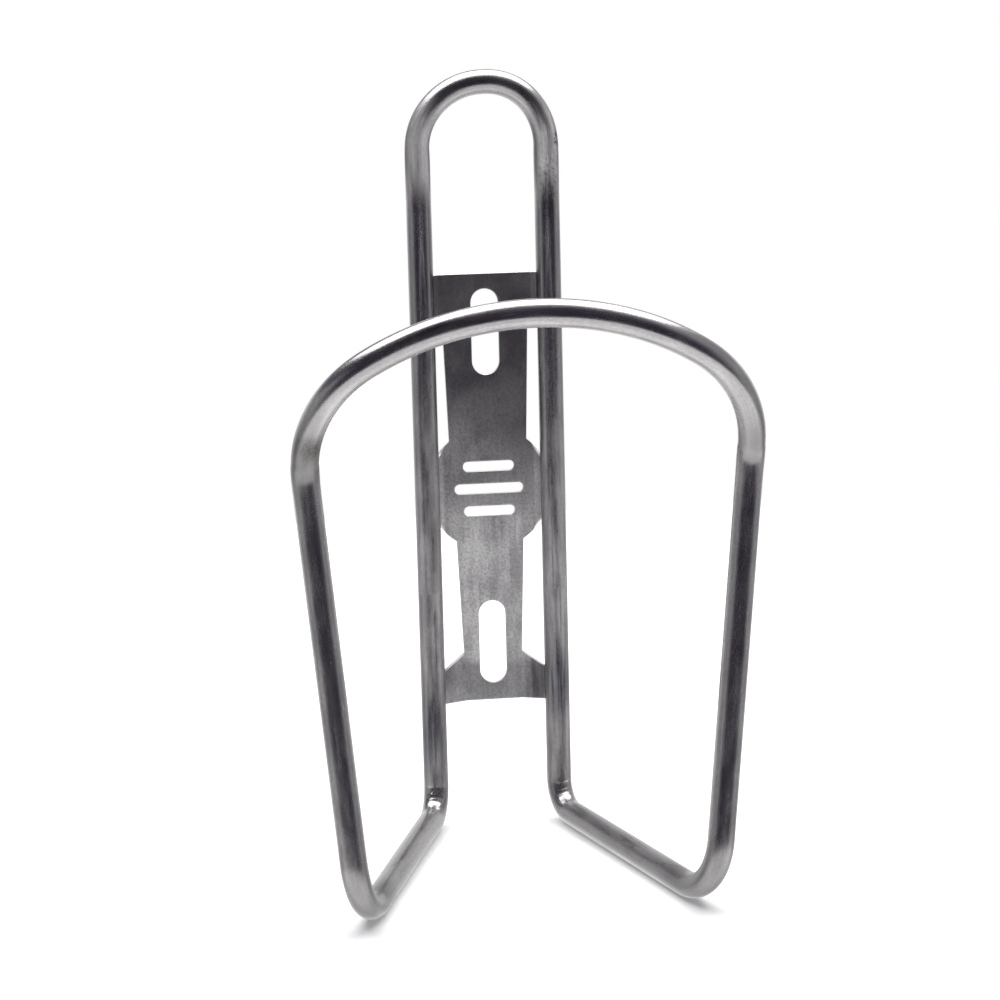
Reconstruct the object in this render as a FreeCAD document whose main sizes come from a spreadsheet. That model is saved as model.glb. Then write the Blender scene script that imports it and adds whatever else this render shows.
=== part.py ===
import FreeCAD, Part
import math
import os
import Sketcher
from FreeCAD import Vector

# Titanium water bottle cage: one closed loop of thin tube round a bottle, and a
# pressed sheet plate that bolts it to a bicycle frame.
#
# Frame: +Z up the bottle, +Y toward the bicycle frame, +X to the cage's side.
# Origin: midway between the two bolt slots, on the plate's rear (mounting) face.
# The loop is two tubes: the rear hairpin (top bend and both rails) and the front
# hoop (lower rail ends, legs, uprights and the arch). They meet at a seam in each
# rail, over an inner sleeve. The plate's tabs are welded to the rails from behind.

DIMENSIONS = [
    # alias, value in mm or degrees, meaning
    ("tube_diameter", 5.0, "outside diameter of the loop tube"),
    ("tube_bore", 4.0, "inside diameter of the loop tube"),
    ("rail_half_spacing", 12.8, "rail axis from the centre plane"),
    ("rail_y", -3.3, "plane of the rail axes, in front of the mounting face"),
    ("hairpin_z", 68.8, "centre of the half-round top bend"),
    ("leg_z", -67.1, "axis height of the two legs"),
    ("rear_bend_radius", 6.0, "bend between rail and leg"),
    ("foot_x", 32.7, "corner of leg and upright, sideways"),
    ("foot_y", -66.7, "corner of leg and upright, forward"),
    ("foot_bend_radius", 12.5, "bend between leg and upright"),
    ("shoulder_x", 39.7, "corner of upright and arch, sideways"),
    ("shoulder_y", -66.3, "corner of upright and arch, forward"),
    ("shoulder_z", 16.0, "corner of upright and arch, height"),
    ("shoulder_bend_radius", 8.0, "bend between upright and arch"),
    ("arch_side_radius", 25.5, "tight part of the arch at each side"),
    ("apex_y", -81.1, "front of the arch axis"),
    ("apex_z", 44.4, "top of the arch axis"),
    ("seam_z", -20.0, "middle of the seam in each rail"),
    ("seam_gap", 0.8, "width of the seam weld"),
    ("seam_crown", 0.05, "how far the dressed seam stands proud"),
    ("sleeve_diameter", 3.96, "inner sleeve, a slip fit in the bore"),
    ("sleeve_bore", 3.0, "hole through the inner sleeve"),
    ("sleeve_length", 12.0, "length of the inner sleeve"),
    ("sheet_gauge", 1.0, "thickness of the plate's sheet"),
    ("plate_top_z", 43.8, "upper edge of the plate"),
    ("plate_bottom_z", -44.3, "lower edge of the plate"),
    ("tab_bend_x", 9.6, "bend line of the top tab and of the disc"),
    ("tab_bend_angle", 39.6, "forward bend of the top tab and of the disc"),
    ("tab_flange", 2.05, "rear face from that bend to the rail"),
    ("tab_root_z", 32.6, "lower end of the top tab, at the strip"),
    ("tab_slope", 2.6, "rise of the tab's lower edge out to the rail"),
    ("bend_radius", 1.2, "rounding of the plate's bends"),
    ("wing_bend_angle", 22.2, "forward bend of the bottom wings"),
    ("wing_flange", 5.02, "rear face from the wing's bend to the rail"),
    ("wing_root_z", -34.1, "upper end of the wings, at the strip"),
    ("wing_slope", 4.2, "fall of the wing's upper edge out to the rail"),
    ("strip_top_half", 8.6, "half width of the upper strip below the tab"),
    ("strip_disc_half", 7.9, "half width of the upper strip at the disc"),
    ("waist_half", 6.85, "half width of the lower strip at the disc"),
    ("strip_low_half", 6.0, "half width of the lower strip at the wings"),
    ("disc_radius", 12.7, "round middle of the plate"),
    ("trim_x", 12.1, "outer side of the cut-away areas, past the tab ends"),
    ("bolt_half_spacing", 32.0, "bolt slot centre from the origin"),
    ("bolt_slot_width", 5.5, "slot for an M5 bolt"),
    ("bolt_slot_length", 17.3, "slot end to end"),
    ("vent_width", 2.0, "width of the three slots that lighten the disc"),
    ("vent_pitch", 4.6, "distance between those slots"),
    ("vent_long", 14.0, "length of the middle one"),
    ("vent_short", 10.4, "length of the other two"),
    ("bead_radius", 0.85, "size of the welds behind the tabs"),
    ("disc_weld_half", 5.3, "half length of the weld at each side of the disc"),
    ("weld_margin", 0.6, "how far the other welds stop short of the plate's ends"),
]

doc = FreeCAD.newDocument("BottleCage")
sheet = doc.addObject("Spreadsheet::Sheet", "Dims")
for row, (alias, value, meaning) in enumerate(DIMENSIONS, start=1):
    sheet.set(f"A{row}", meaning)
    sheet.set(f"B{row}", str(value))
    sheet.setAlias(f"B{row}", alias)
doc.recompute()


def dim(alias):
    """A driving dimension, as a number."""
    return float(sheet.get(alias))


def origin_plane(body, role):
    return next(f for f in body.Origin.OriginFeatures if f.Role == role)


def new_body(label):
    body = doc.addObject("PartDesign::Body", label)
    body.Label = label
    return body


def new_sketch(body, name, role, offset=None):
    """A sketch on one of the body's own planes, raised along its normal by a cell."""
    sketch = body.newObject("Sketcher::SketchObject", name)
    sketch.AttachmentSupport = [(origin_plane(body, role), "")]
    sketch.MapMode = "FlatFace"
    if offset:
        sketch.setExpression("AttachmentOffset.Base.z", offset)
    return sketch


def fix_point(sketch, geometry, end, x, y):
    """Bind a sketch point's two coordinates to expressions."""
    for kind, axis, text in (("DistanceX", 0, x), ("DistanceY", 1, y)):
        now = sketch.getPoint(geometry, end)[axis]
        index = sketch.addConstraint(
            Sketcher.Constraint(kind, -1, 1, geometry, end, now))
        sketch.setExpression(f"Constraints[{index}]", text)


def evaluate(text):
    """The value of an expression over the sheet's cells, to place a sketch point."""
    value = sheet.evalExpression(text.replace("Dims.", ""))
    return float(getattr(value, "Value", value))


def draw_outline(sketch, corners, arc_sides=()):
    """
    A closed outline. Each corner is a pair of expressions. The sides whose index is
    in arc_sides are arcs about the sketch's origin, clockwise, with the disc's radius.
    """
    points = [Vector(evaluate(x), evaluate(y), 0) for x, y in corners]
    count = len(points)
    ends = []
    for i, start in enumerate(points):
        stop = points[(i + 1) % count]
        if i in arc_sides:
            radius = dim("disc_radius")
            circle = Part.Circle(Vector(0, 0, 0), Vector(0, 0, 1), radius)
            angles = [math.atan2(p.y, p.x) for p in (stop, start)]
            geometry = sketch.addGeometry(Part.ArcOfCircle(circle, *angles))
            ends.append((geometry, 2, 1))
        else:
            geometry = sketch.addGeometry(Part.LineSegment(start, stop))
            ends.append((geometry, 1, 2))
    for (here, _, last), (after, first, _) in zip(ends, ends[1:] + ends[:1]):
        sketch.addConstraint(Sketcher.Constraint("Coincident", here, last, after, first))
    for i in sorted(arc_sides):
        geometry = ends[i][0]
        sketch.addConstraint(Sketcher.Constraint("Coincident", geometry, 3, -1, 1))
        index = sketch.addConstraint(
            Sketcher.Constraint("Radius", geometry, dim("disc_radius")))
        sketch.setExpression(f"Constraints[{index}]", "Dims.disc_radius")
    for i, (x, y) in enumerate(corners):
        geometry, first = ends[i][:2]
        on_arc = i in arc_sides or (i - 1) % count in arc_sides
        if on_arc:
            now = points[i].x
            index = sketch.addConstraint(
                Sketcher.Constraint("DistanceX", -1, 1, geometry, first, now))
            sketch.setExpression(f"Constraints[{index}]", x)
        else:
            fix_point(sketch, geometry, first, x, y)


def draw_slot(sketch, centre, length, width, upright):
    """A round-ended slot about a centre: expressions for its centre, length, width."""
    cx, cy = (evaluate(text) for text in centre)
    reach = (evaluate(length) - evaluate(width)) / 2
    radius = evaluate(width) / 2
    along = Vector(0, reach, 0) if upright else Vector(reach, 0, 0)
    side = Vector(radius, 0, 0) if upright else Vector(0, -radius, 0)
    middle = Vector(cx, cy, 0)
    turn = 0.0 if upright else -math.pi / 2
    far = Part.Circle(middle + along, Vector(0, 0, 1), radius)
    near = Part.Circle(middle - along, Vector(0, 0, 1), radius)
    ids = sketch.addGeometry([
        Part.ArcOfCircle(far, turn, turn + math.pi),
        Part.LineSegment(middle + along - side, middle - along - side),
        Part.ArcOfCircle(near, turn + math.pi, turn + 2 * math.pi),
        Part.LineSegment(middle - along + side, middle + along + side),
    ])
    for i in range(4):
        a, b = ids[i], ids[(i + 1) % 4]
        sketch.addConstraint(Sketcher.Constraint("Tangent", a, 2, b, 1))
    sketch.addConstraint(Sketcher.Constraint("Equal", ids[0], ids[2]))
    index = sketch.addConstraint(Sketcher.Constraint("Radius", ids[0], radius))
    sketch.setExpression(f"Constraints[{index}]", f"({width}) / 2")
    run = f"(({length}) - ({width})) / 2"
    x, y = centre
    if upright:
        fix_point(sketch, ids[0], 3, x, f"({y}) + {run}")
        fix_point(sketch, ids[2], 3, x, f"({y}) - {run}")
    else:
        fix_point(sketch, ids[0], 3, f"({x}) + {run}", y)
        fix_point(sketch, ids[2], 3, f"({x}) - {run}", y)


def cut_through(body, sketch, name):
    """Cut the sketch's areas out of the body, both ways from the sketch's plane."""
    before = body.Tip.Shape.Volume
    pocket = body.newObject("PartDesign::Pocket", name)
    pocket.Profile = sketch
    pocket.Type = "ThroughAll"
    pocket.Midplane = True
    doc.recompute()
    assert pocket.Shape.Volume < before - 0.1, f"{name} cuts nothing"
    return pocket


# ---------------------------------------------------------------- back plate

def press_section(sketch, bend_x, angle, flange):
    """The sheet's cross-section: a flat middle and a tab bent forward at each side."""
    gauge = "Dims.sheet_gauge"
    tip_x = f"{bend_x} + {flange} * cos({angle} * 1deg)"
    tip_y = f"{flange} * sin({angle} * 1deg)"
    right = [
        (bend_x, "0"),
        (tip_x, f"-({tip_y})"),
        (f"{tip_x} - {gauge} * sin({angle} * 1deg)",
         f"-({tip_y}) - {gauge} * cos({angle} * 1deg)"),
        (f"{bend_x} - {gauge} * tan({angle} * 0.5deg)", f"-{gauge}"),
    ]
    left = [(f"-({x})", y) for x, y in reversed(right)]
    draw_outline(sketch, right + left)


def press(body, name, section, length):
    pad = body.newObject("PartDesign::Pad", name)
    pad.Profile = section
    pad.setExpression("Length", length)
    doc.recompute()
    return pad


def round_bends(body, name, bend_x, angle, low, high):
    """Round the four upright edges where the section's tabs leave its flat middle."""
    gauge = dim("sheet_gauge")
    inner_x = dim(bend_x) - gauge * math.tan(math.radians(dim(angle) / 2))
    middle = (dim(low) + dim(high)) / 2
    places = [Vector(sign * x, y, middle)
              for sign in (1, -1) for x, y in ((dim(bend_x), 0), (inner_x, -gauge))]
    edges = []
    base = body.Tip
    for index, edge in enumerate(base.Shape.Edges, start=1):
        if any(edge.CenterOfMass.distanceToPoint(place) < 0.01 for place in places):
            edges.append(f"Edge{index}")
    assert len(edges) == 4, f"{name} finds {edges}"
    fillet = body.newObject("PartDesign::Fillet", name)
    fillet.Base = (base, edges)
    fillet.setExpression("Radius", "Dims.bend_radius")
    doc.recompute()


plate = new_body("back_plate")

wing_section = new_sketch(plate, "WingSection", "XY_Plane", "Dims.plate_bottom_z")
press_section(wing_section, "Dims.strip_low_half", "Dims.wing_bend_angle",
              "Dims.wing_flange")
press(plate, "Wings", wing_section, "Dims.wing_root_z - Dims.plate_bottom_z")

tab_section = new_sketch(plate, "TabSection", "XY_Plane", "Dims.wing_root_z")
press_section(tab_section, "Dims.tab_bend_x", "Dims.tab_bend_angle",
              "Dims.tab_flange")
press(plate, "StripAndTabs", tab_section, "Dims.plate_top_z - Dims.wing_root_z")
round_bends(plate, "TabBends", "tab_bend_x", "tab_bend_angle",
            "wing_root_z", "plate_top_z")
round_bends(plate, "WingBends", "strip_low_half", "wing_bend_angle",
            "plate_bottom_z", "wing_root_z")


def on_disc(x):
    """Height of the disc's edge at a given half width."""
    return f"sqrt(pow(Dims.disc_radius; 2) - pow({x}; 2))"


trim = "Dims.trim_x"
side_areas = new_sketch(plate, "SideAreas", "XZ_Plane")
for flip in (1, -1):
    mark = "" if flip > 0 else "-"
    upper = [
        (f"{mark}{trim}", "Dims.tab_root_z + Dims.tab_slope"),
        (f"{mark}{trim}", on_disc(trim)),
        (f"{mark}Dims.strip_disc_half", on_disc("Dims.strip_disc_half")),
        (f"{mark}Dims.strip_top_half", "Dims.tab_root_z"),
    ]
    lower = [
        (f"{mark}{trim}", f"-{on_disc(trim)}"),
        (f"{mark}{trim}", "Dims.wing_root_z - Dims.wing_slope"),
        (f"{mark}Dims.strip_low_half", "Dims.wing_root_z"),
        (f"{mark}Dims.waist_half", f"-{on_disc('Dims.waist_half')}"),
    ]
    # The arc sides run clockwise about the disc's centre.
    if flip > 0:
        draw_outline(side_areas, [upper[2], upper[1], upper[0], upper[3]], {0})
        draw_outline(side_areas, [lower[0], lower[3], lower[2], lower[1]], {0})
    else:
        draw_outline(side_areas, [upper[1], upper[2], upper[3], upper[0]], {0})
        draw_outline(side_areas, [lower[3], lower[0], lower[1], lower[2]], {0})
cut_through(plate, side_areas, "SideCuts")

holes = new_sketch(plate, "Slots", "XZ_Plane")
for sign in ("", "-"):
    draw_slot(holes, ("0", f"{sign}Dims.bolt_half_spacing"),
              "Dims.bolt_slot_length", "Dims.bolt_slot_width", upright=True)
for step, length in ((-1, "short"), (0, "long"), (1, "short")):
    draw_slot(holes, ("0", f"{step} * Dims.vent_pitch"),
              f"Dims.vent_{length}", "Dims.vent_width", upright=False)
cut_through(plate, holes, "SlotCuts")


# ------------------------------------------------------------- rear hairpin

hairpin = new_body("rear_hairpin_tube")
hairpin.setExpression("Placement.Base.y", "Dims.rail_y")

course = new_sketch(hairpin, "HairpinCourse", "XZ_Plane")
half, top, foot = dim("rail_half_spacing"), dim("hairpin_z"), dim("seam_z")
foot += dim("seam_gap") / 2
bend = Part.Circle(Vector(0, top, 0), Vector(0, 0, 1), half)
rail_1, arc, rail_2 = course.addGeometry([
    Part.LineSegment(Vector(half, foot, 0), Vector(half, top, 0)),
    Part.ArcOfCircle(bend, 0, math.pi),
    Part.LineSegment(Vector(-half, top, 0), Vector(-half, foot, 0)),
])
course.addConstraint(Sketcher.Constraint("Tangent", rail_1, 2, arc, 1))
course.addConstraint(Sketcher.Constraint("Tangent", arc, 2, rail_2, 1))
fix_point(course, rail_1, 1, "Dims.rail_half_spacing",
          "Dims.seam_z + Dims.seam_gap / 2")
fix_point(course, arc, 3, "0", "Dims.hairpin_z")
level = course.addConstraint(
    Sketcher.Constraint("DistanceY", -1, 1, rail_2, 2, foot))
course.setExpression(f"Constraints[{level}]", "Dims.seam_z + Dims.seam_gap / 2")

wall = new_sketch(hairpin, "HairpinWall", "XY_Plane",
                  "Dims.seam_z + Dims.seam_gap / 2")
for alias in ("tube_diameter", "tube_bore"):
    ring = wall.addGeometry(
        Part.Circle(Vector(half, 0, 0), Vector(0, 0, 1), dim(alias) / 2))
    index = wall.addConstraint(Sketcher.Constraint("Radius", ring, dim(alias) / 2))
    wall.setExpression(f"Constraints[{index}]", f"Dims.{alias} / 2")
    fix_point(wall, ring, 3, "Dims.rail_half_spacing", "0")
doc.recompute()

pipe = hairpin.newObject("PartDesign::AdditivePipe", "HairpinPipe")
pipe.Profile = wall
pipe.Spine = (course, ["Edge1", "Edge2", "Edge3"])
doc.recompute()


# --------------------------------------------------------------- front hoop

def bent_run(corners, radii):
    """Straight runs through the corners, each inner corner rounded by its bend."""
    edges = []
    start = corners[0]
    for before, corner, after, radius in zip(corners, corners[1:], corners[2:], radii):
        back = (before - corner).normalize()
        ahead = (after - corner).normalize()
        turn = math.pi - back.getAngle(ahead)
        reach = radius * math.tan(turn / 2)
        inward = (back + ahead).normalize()
        middle = corner + inward * (radius / math.cos(turn / 2) - radius)
        first = corner + back * reach
        last = corner + ahead * reach
        edges.append(Part.LineSegment(start, first).toShape())
        edges.append(Part.Arc(first, middle, last).toShape())
        start = last
    if (corners[-1] - start).Length > 1e-6:
        edges.append(Part.LineSegment(start, corners[-1]).toShape())
    return edges


def hoop_course():
    """The hoop's axis from one seam to the other, as lines and tangent arcs."""
    rail = Vector(dim("rail_half_spacing"), dim("rail_y"), 0)
    seam = rail + Vector(0, 0, dim("seam_z") - dim("seam_gap") / 2)
    heel = rail + Vector(0, 0, dim("leg_z"))
    foot_corner = Vector(dim("foot_x"), dim("foot_y"), dim("leg_z"))
    shoulder = Vector(dim("shoulder_x"), dim("shoulder_y"), dim("shoulder_z"))
    apex = Vector(0, dim("apex_y"), dim("apex_z"))

    # The arch lies in one plane, through both shoulder corners and the apex.
    base = Vector(0, shoulder.y, shoulder.z)
    rise = (apex - base).normalize()
    upright = (shoulder - foot_corner).normalize()
    lead = dim("shoulder_bend_radius") * math.tan(upright.getAngle(rise) / 2)
    runs = bent_run(
        [seam, heel, foot_corner, shoulder, shoulder + rise * lead],
        [dim("rear_bend_radius"), dim("foot_bend_radius"), dim("shoulder_bend_radius")])

    # Two radii make the arch: a tight one at the side and a wide one in front. The
    # wide one follows from the height that is left and from being tangent.
    tight = dim("arch_side_radius")
    height = (apex - base).Length - lead
    inset = shoulder.x - tight
    wide = (inset ** 2 + height ** 2 - tight ** 2) / (2 * (height - tight))
    side_centre = base + rise * lead + Vector(inset, 0, 0)
    front_centre = apex - rise * wide
    join_angle = math.atan2(wide - height, inset)

    def on_arch(centre, radius, angle):
        return centre + Vector(radius * math.cos(angle), 0, 0) \
            + rise * (radius * math.sin(angle))

    side = Part.Arc(on_arch(side_centre, tight, 0),
                    on_arch(side_centre, tight, join_angle / 2),
                    on_arch(side_centre, tight, join_angle)).toShape()
    join = on_arch(front_centre, wide, join_angle)
    front = Part.Arc(join, apex, Vector(-join.x, join.y, join.z)).toShape()
    right = runs + [side]
    left = [edge.mirror(Vector(0, 0, 0), Vector(1, 0, 0)) for edge in reversed(right)]
    return Part.Wire(Part.__sortEdges__(right + [front] + left))


axis = doc.addObject("Part::Feature", "HoopCourse")
axis.Shape = hoop_course()


def hoop_section(name, alias):
    """A circle square to the seam end of the hoop's axis."""
    circle = doc.addObject("Part::Circle", name)
    circle.setExpression("Radius", f"Dims.{alias} / 2")
    circle.setExpression("Placement.Base.x", "Dims.rail_half_spacing")
    circle.setExpression("Placement.Base.y", "Dims.rail_y")
    circle.setExpression("Placement.Base.z", "Dims.seam_z - Dims.seam_gap / 2")
    return circle


def hoop_sweep(name, alias):
    """The circle swept along the whole axis, as one solid."""
    sweep = doc.addObject("Part::Sweep", name)
    sweep.Sections = [hoop_section(name + "Section", alias)]
    sweep.Spine = (axis, [f"Edge{i + 1}" for i in range(len(axis.Shape.Edges))])
    sweep.Solid = True
    return sweep


hoop = doc.addObject("Part::Cut", "front_hoop_tube")
hoop.Label = "front_hoop_tube"
hoop.Base = hoop_sweep("HoopOutside", "tube_diameter")
hoop.Tool = hoop_sweep("HoopBore", "tube_bore")


# ------------------------------------------------- seams, sleeves and welds

def ring(label, side, outside, inside, length):
    """A short tube on a rail's axis, centred on the seam."""
    parts = []
    for name, diameter in (("Outside", outside), ("Hole", inside)):
        cylinder = doc.addObject("Part::Cylinder", f"{label}_{name}")
        cylinder.setExpression("Radius", f"({diameter}) / 2")
        cylinder.setExpression("Height", length)
        cylinder.setExpression("Placement.Base.x", f"{side} * Dims.rail_half_spacing")
        cylinder.setExpression("Placement.Base.y", "Dims.rail_y")
        cylinder.setExpression("Placement.Base.z", f"Dims.seam_z - ({length}) / 2")
        parts.append(cylinder)
    cut = doc.addObject("Part::Cut", label)
    cut.Label = label
    cut.Base, cut.Tool = parts
    return cut


def tab_weld(label, side, bend_x, angle, flange, low, high):
    """
    A bead in the groove behind a tab's end: a rod along the end's rear edge, less the
    rail and less the plate.
    """
    rod = doc.addObject("Part::Cylinder", f"{label}_Rod")
    rod.setExpression("Radius", "Dims.bead_radius")
    rod.setExpression("Height", f"({high}) - ({low})")
    tip = f"{bend_x} + {flange} * cos({angle} * 1deg)"
    rod.setExpression("Placement.Base.x", f"{side} * ({tip})")
    rod.setExpression("Placement.Base.y", f"-{flange} * sin({angle} * 1deg)")
    rod.setExpression("Placement.Base.z", low)
    rail = doc.addObject("Part::Cylinder", f"{label}_Rail")
    rail.setExpression("Radius", "Dims.tube_diameter / 2")
    rail.setExpression("Height", "Dims.plate_top_z - Dims.plate_bottom_z")
    rail.setExpression("Placement.Base.x", f"{side} * Dims.rail_half_spacing")
    rail.setExpression("Placement.Base.y", "Dims.rail_y")
    rail.setExpression("Placement.Base.z", "Dims.plate_bottom_z")
    off_rail = doc.addObject("Part::Cut", f"{label}_OffRail")
    off_rail.Base, off_rail.Tool = rod, rail
    bead = doc.addObject("Part::Cut", label)
    bead.Label = label
    bead.Base, bead.Tool = off_rail, plate
    return bead


pieces = [plate, hairpin, hoop]
TAB = ("Dims.tab_bend_x", "Dims.tab_bend_angle", "Dims.tab_flange")
WING = ("Dims.strip_low_half", "Dims.wing_bend_angle", "Dims.wing_flange")
for word, side in (("right", 1), ("left", -1)):
    pieces.append(ring(f"seam_sleeve_{word}", side, "Dims.sleeve_diameter",
                       "Dims.sleeve_bore", "Dims.sleeve_length"))
    pieces.append(ring(f"seam_weld_{word}", side,
                       "Dims.tube_diameter + 2 * Dims.seam_crown",
                       "Dims.tube_bore", "Dims.seam_gap"))
    pieces.append(tab_weld(f"top_tab_weld_{word}", side, *TAB,
                           "Dims.tab_root_z + Dims.tab_slope",
                           "Dims.plate_top_z - Dims.weld_margin"))
    pieces.append(tab_weld(f"disc_weld_{word}", side, *TAB,
                           "-Dims.disc_weld_half", "Dims.disc_weld_half"))
    pieces.append(tab_weld(f"wing_weld_{word}", side, *WING,
                           "Dims.plate_bottom_z + Dims.weld_margin",
                           "Dims.wing_root_z - Dims.wing_slope"))
doc.recompute()


# ------------------------------------------------------------ check and write

for item in doc.Objects:
    assert not {"Invalid", "Error"} & set(item.State), f"{item.Name}: {item.State}"

os.makedirs("parts", exist_ok=True)
for piece in pieces:
    shape = piece.Shape
    assert not shape.isNull() and shape.isValid(), f"{piece.Label} is not valid"
    assert len(shape.Solids) == 1, f"{piece.Label} has {len(shape.Solids)} solids"
    shape.exportStep(f"parts/{piece.Label}.step")
    size = shape.BoundBox
    print(f"{piece.Label:22s} {shape.Volume:8.2f} mm3  "
          f"x {size.XMin:.1f}..{size.XMax:.1f}  y {size.YMin:.1f}..{size.YMax:.1f}  "
          f"z {size.ZMin:.1f}..{size.ZMax:.1f}")
print(f"hoop axis length {axis.Shape.Length:.1f} mm")
print(f"plate to hairpin {plate.Shape.distToShape(hairpin.Shape)[0]:.3f} mm")
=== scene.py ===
import math

import bpy
import bmesh
import numpy as np
from mathutils import Matrix, Vector


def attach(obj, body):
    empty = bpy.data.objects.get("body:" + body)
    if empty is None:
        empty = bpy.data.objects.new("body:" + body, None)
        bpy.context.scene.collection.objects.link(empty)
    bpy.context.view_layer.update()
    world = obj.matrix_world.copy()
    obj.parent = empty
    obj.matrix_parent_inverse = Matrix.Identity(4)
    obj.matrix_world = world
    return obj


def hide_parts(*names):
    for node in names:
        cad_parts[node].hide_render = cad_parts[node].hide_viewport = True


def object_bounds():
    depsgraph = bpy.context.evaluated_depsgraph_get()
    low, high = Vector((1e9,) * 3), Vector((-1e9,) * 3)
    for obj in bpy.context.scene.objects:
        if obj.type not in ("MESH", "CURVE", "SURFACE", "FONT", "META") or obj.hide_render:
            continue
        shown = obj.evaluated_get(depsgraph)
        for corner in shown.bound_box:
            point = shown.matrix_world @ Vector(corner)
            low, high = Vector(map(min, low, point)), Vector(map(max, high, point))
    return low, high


# The looks of a titanium bottle cage. The CAD frame: +Z up the bottle, +Y toward the
# bicycle frame, +X to the cage's right side, and the origin midway between the two bolt
# slots on the plate's rear face. Lengths are in millimetres until MM turns them to metres.

MM = 0.001
SHARP_ANGLE = math.radians(50)
SAME_POINT = 1e-4

# The loop's driving dimensions, as in the CAD.
TUBE_RADIUS = 2.5
BORE_RADIUS = 2.0
RAIL_X = 12.8
RAIL_Y = -3.3
HAIRPIN_Z = 68.8
LEG_Z = -67.1
REAR_BEND_RADIUS = 6.0
FOOT = Vector((32.7, -66.7, LEG_Z))
FOOT_BEND_RADIUS = 12.5
SHOULDER = Vector((39.7, -66.3, 16.0))
SHOULDER_BEND_RADIUS = 8.0
ARCH_SIDE_RADIUS = 25.5
APEX = Vector((0.0, -81.1, 44.4))
SEAM_Z = -20.0
SEAM_GAP = 0.8

# The plate's driving dimensions, as in the CAD.
GAUGE = 1.0
PLATE_TOP = 43.8
PLATE_BOTTOM = -44.3
TAB_BEND_X = 9.6
TAB_ANGLE = math.radians(39.6)
TAB_FLANGE = 2.05
TAB_ROOT_Z = 32.6
TAB_SLOPE = 2.6
WING_BEND_X = 6.0
WING_ANGLE = math.radians(22.2)
WING_FLANGE = 5.02
WING_ROOT_Z = -34.1
WING_SLOPE = 4.2
PLATE_BEND_RADIUS = 1.8
STRIP_TOP_HALF = 8.6
STRIP_DISC_HALF = 7.9
WAIST_HALF = 6.85
STRIP_LOW_HALF = 6.0
DISC_RADIUS = 12.7
TRIM_X = 12.1
BOLT_Z = 32.0
BOLT_SLOT_WIDTH = 5.5
BOLT_SLOT_LENGTH = 17.3
VENT_WIDTH = 2.0
VENT_PITCH = 4.6
VENT_LONG = 14.0
VENT_SHORT = 10.4
BEAD_RADIUS = 0.85
DISC_WELD_HALF = 5.3
WELD_MARGIN = 0.6

# How finely the tubes are sampled along their axis and around it.
RUN_STEP = 0.9
BEND_STEP = 0.45
ARCH_SIDE_STEP = 0.6
ARCH_FRONT_STEP = 0.7
TUBE_AROUND = 40

# The distances over which a change along the tube is smoothed.
SHOULDER_EASE = 3.2
BEND_EASE = 1.4
CURL_EASE = 1.0
FINISH_EASE = 3.0

# How far the top bend is from a half circle, outward on the right and inward on the left.
UNEVEN_RIGHT = 0.50
UNEVEN_LEFT = 0.20

# A bend is pressed in by a share of the tube's radius, and bulges sideways by a share of
# that. Bends tighter than the full radius get all of it.
OVAL_PRESS = 0.045
OVAL_BULGE = 0.35
OVAL_FULL_RADIUS = 9.0

# The wrinkles inside the rear bends. The skew keeps them from being straight rings.
WRINKLE_DEPTH = 0.11
WRINKLE_PITCH = 1.45
WRINKLE_SKEW = 0.9

# The dressed seam weld. It is sanded lower than the CAD's crown.
SEAM_ROWS = 9
SEAM_CROWN = 0.01
SEAM_RIPPLE = 0.004

# The limits that tell the front tube's parts apart.
RAIL_LIMIT_Y = -6.0
LEG_START_Y = -8.0
REAR_BEND_LIMIT_Y = -12.0
FRONT_LIMIT_Y = -50.0
LEG_LIMIT_Z = -60.0

# How the sheet's cut edges are broken, and how finely its bends and slots are cut.
EDGE_BREAK = 0.16
EDGE_LAND = 0.3
EDGE_ANGLES = (0, 30, 60, 90)
PLATE_BEND_STEPS = 7
SLOT_STEPS = 14
DISC_STEP = 0.5
EDGE_STEP = 1.5

# A weld bead's ripples.
BEAD_AROUND = 20
BEAD_STEP = 0.16
BEAD_RIPPLE = 1.15

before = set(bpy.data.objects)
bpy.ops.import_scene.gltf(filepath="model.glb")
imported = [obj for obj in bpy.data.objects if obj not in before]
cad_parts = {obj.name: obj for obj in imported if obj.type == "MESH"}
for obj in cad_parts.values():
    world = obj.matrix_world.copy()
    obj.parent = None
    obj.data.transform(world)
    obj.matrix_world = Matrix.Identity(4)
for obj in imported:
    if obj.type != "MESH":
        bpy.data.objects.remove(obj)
cad_low, cad_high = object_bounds()


# ------------------------------------------------------------------ mesh helpers

def in_scene(name, data):
    """A new object in the scene that shows this mesh, light or camera."""
    made = bpy.data.objects.new(name, data)
    bpy.context.scene.collection.objects.link(made)
    return made


def new_piece(name, points, faces, attributes=None):
    """A mesh object from millimetre points. attributes maps a name to per-point values."""
    mesh = bpy.data.meshes.new(name)
    scaled = [tuple(c * MM for c in p) for p in points]
    mesh.from_pydata(scaled, [], faces)
    mesh.update()
    for key, values in (attributes or {}).items():
        values = np.asarray(values, np.float32)
        kind = "FLOAT_VECTOR" if values.ndim == 2 else "FLOAT"
        layer = mesh.attributes.new(key, kind, "POINT")
        layer.data.foreach_set("vector" if values.ndim == 2 else "value", values.ravel())
    mesh.polygons.foreach_set("use_smooth", [True] * len(mesh.polygons))
    mesh.set_sharp_from_angle(angle=SHARP_ANGLE)
    return in_scene(name, mesh)


def smoothstep(low, high, x):
    """0 below low and 1 above high, with a soft change between."""
    t = np.clip((np.asarray(x, float) - low) / (high - low), 0.0, 1.0)
    return t * t * (3.0 - 2.0 * t)


def band(low, full, end, gone, x):
    """0 below low, 1 from full to end, 0 above gone, with soft changes between."""
    return smoothstep(low, full, x) * (1 - smoothstep(end, gone, x))


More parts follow.
